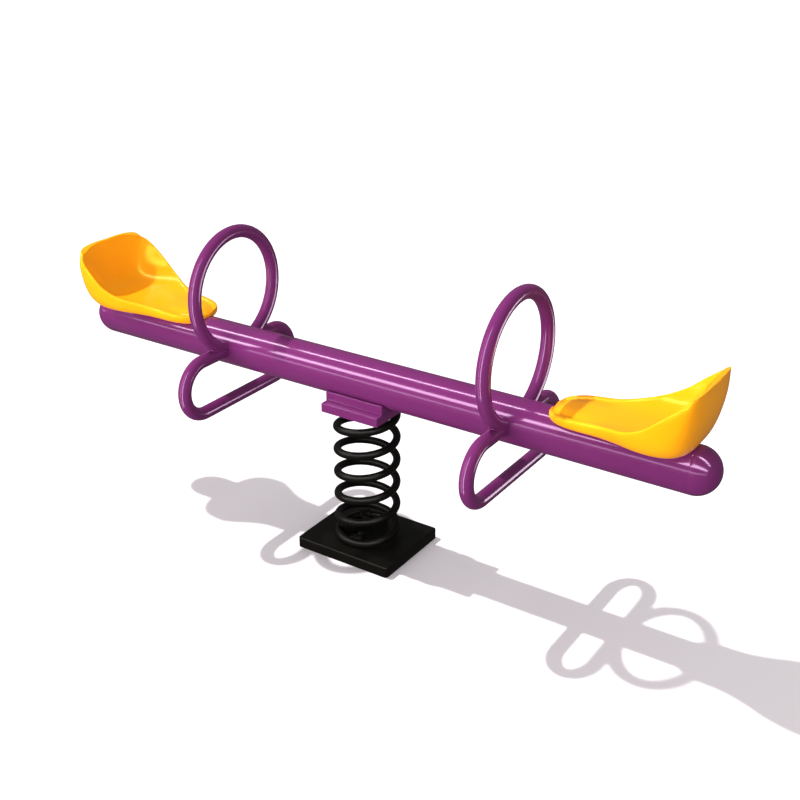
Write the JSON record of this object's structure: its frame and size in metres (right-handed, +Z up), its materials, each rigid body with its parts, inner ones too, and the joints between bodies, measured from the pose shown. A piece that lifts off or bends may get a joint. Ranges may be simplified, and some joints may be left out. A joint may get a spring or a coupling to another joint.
{
  "type": "seesaw",
  "caption": "Playground seesaw: a straight tube beam with a moulded seat, ring handle and bent footrest at each end, rocking on an upright coil spring over a base plate.",
  "frame": {"origin": "on the ground, under the middle of the base", "axes": "+Z up; +X along the beam; +Y across it, along the handle rings and footrests"},
  "size_m": [2.2738, 0.576, 0.9905],
  "materials": {
    "purple_powder_coat": "gloss powder coat on steel",
    "black_powder_coat": "semi-gloss black powder coat on steel",
    "yellow_plastic": "glossy moulded plastic",
    "zinc_plated_steel": "zinc plated",
    "galvanised_steel": "hot-dip galvanised"
  },
  "bodies": {
    "base": {"base_cover": "black_powder_coat", "ground_plate": "galvanised_steel", "spacer_disc": "galvanised_steel", "lower_claw_1": "black_powder_coat", "lower_claw_bolt_1": "black_powder_coat", "lower_claw_2": "black_powder_coat", "lower_claw_bolt_2": "black_powder_coat", "lower_claw_3": "black_powder_coat", "lower_claw_bolt_3": "black_powder_coat"},
    "spring": {"spring": "black_powder_coat"},
    "beam": {"upper_claw_1": "black_powder_coat", "upper_claw_bolt_1": "black_powder_coat", "upper_claw_2": "black_powder_coat", "upper_claw_bolt_2": "black_powder_coat", "upper_claw_3": "black_powder_coat", "upper_claw_bolt_3": "black_powder_coat", "bracket_plate": "purple_powder_coat", "saddle_rail_near": "purple_powder_coat", "saddle_rail_far": "purple_powder_coat", "beam_tube": "purple_powder_coat", "beam_cap_left": "purple_powder_coat", "beam_cap_right": "purple_powder_coat", "handle_ring_left": "purple_powder_coat", "handle_ring_right": "purple_powder_coat", "footrest_left": "purple_powder_coat", "footrest_right": "purple_powder_coat", "seat_left": "yellow_plastic", "seat_plate_left": "purple_powder_coat", "seat_bolt_left_1": "zinc_plated_steel", "seat_bolt_left_2": "zinc_plated_steel", "seat_bolt_left_3": "zinc_plated_steel", "seat_bolt_left_4": "zinc_plated_steel", "seat_right": "yellow_plastic", "seat_plate_right": "purple_powder_coat", "seat_bolt_right_1": "zinc_plated_steel", "seat_bolt_right_2": "zinc_plated_steel", "seat_bolt_right_3": "zinc_plated_steel", "seat_bolt_right_4": "zinc_plated_steel"}
  },
  "joints": [
    {"name": "sway", "type": "hinge", "parent": "base", "child": "spring", "pos_m": [0, 0, 0.125], "axis": [1, 0, 0], "range_deg": [-8, 8], "stiffness_Nm_per_rad": 1090, "deforming": ["spring"]},
    {"name": "rock", "type": "hinge", "parent": "spring", "child": "beam", "pos_m": [0, 0, 0.315], "axis": [0, 1, 0], "range_deg": [-18, 18], "stiffness_Nm_per_rad": 1090, "deforming": ["spring"]}
  ]
}
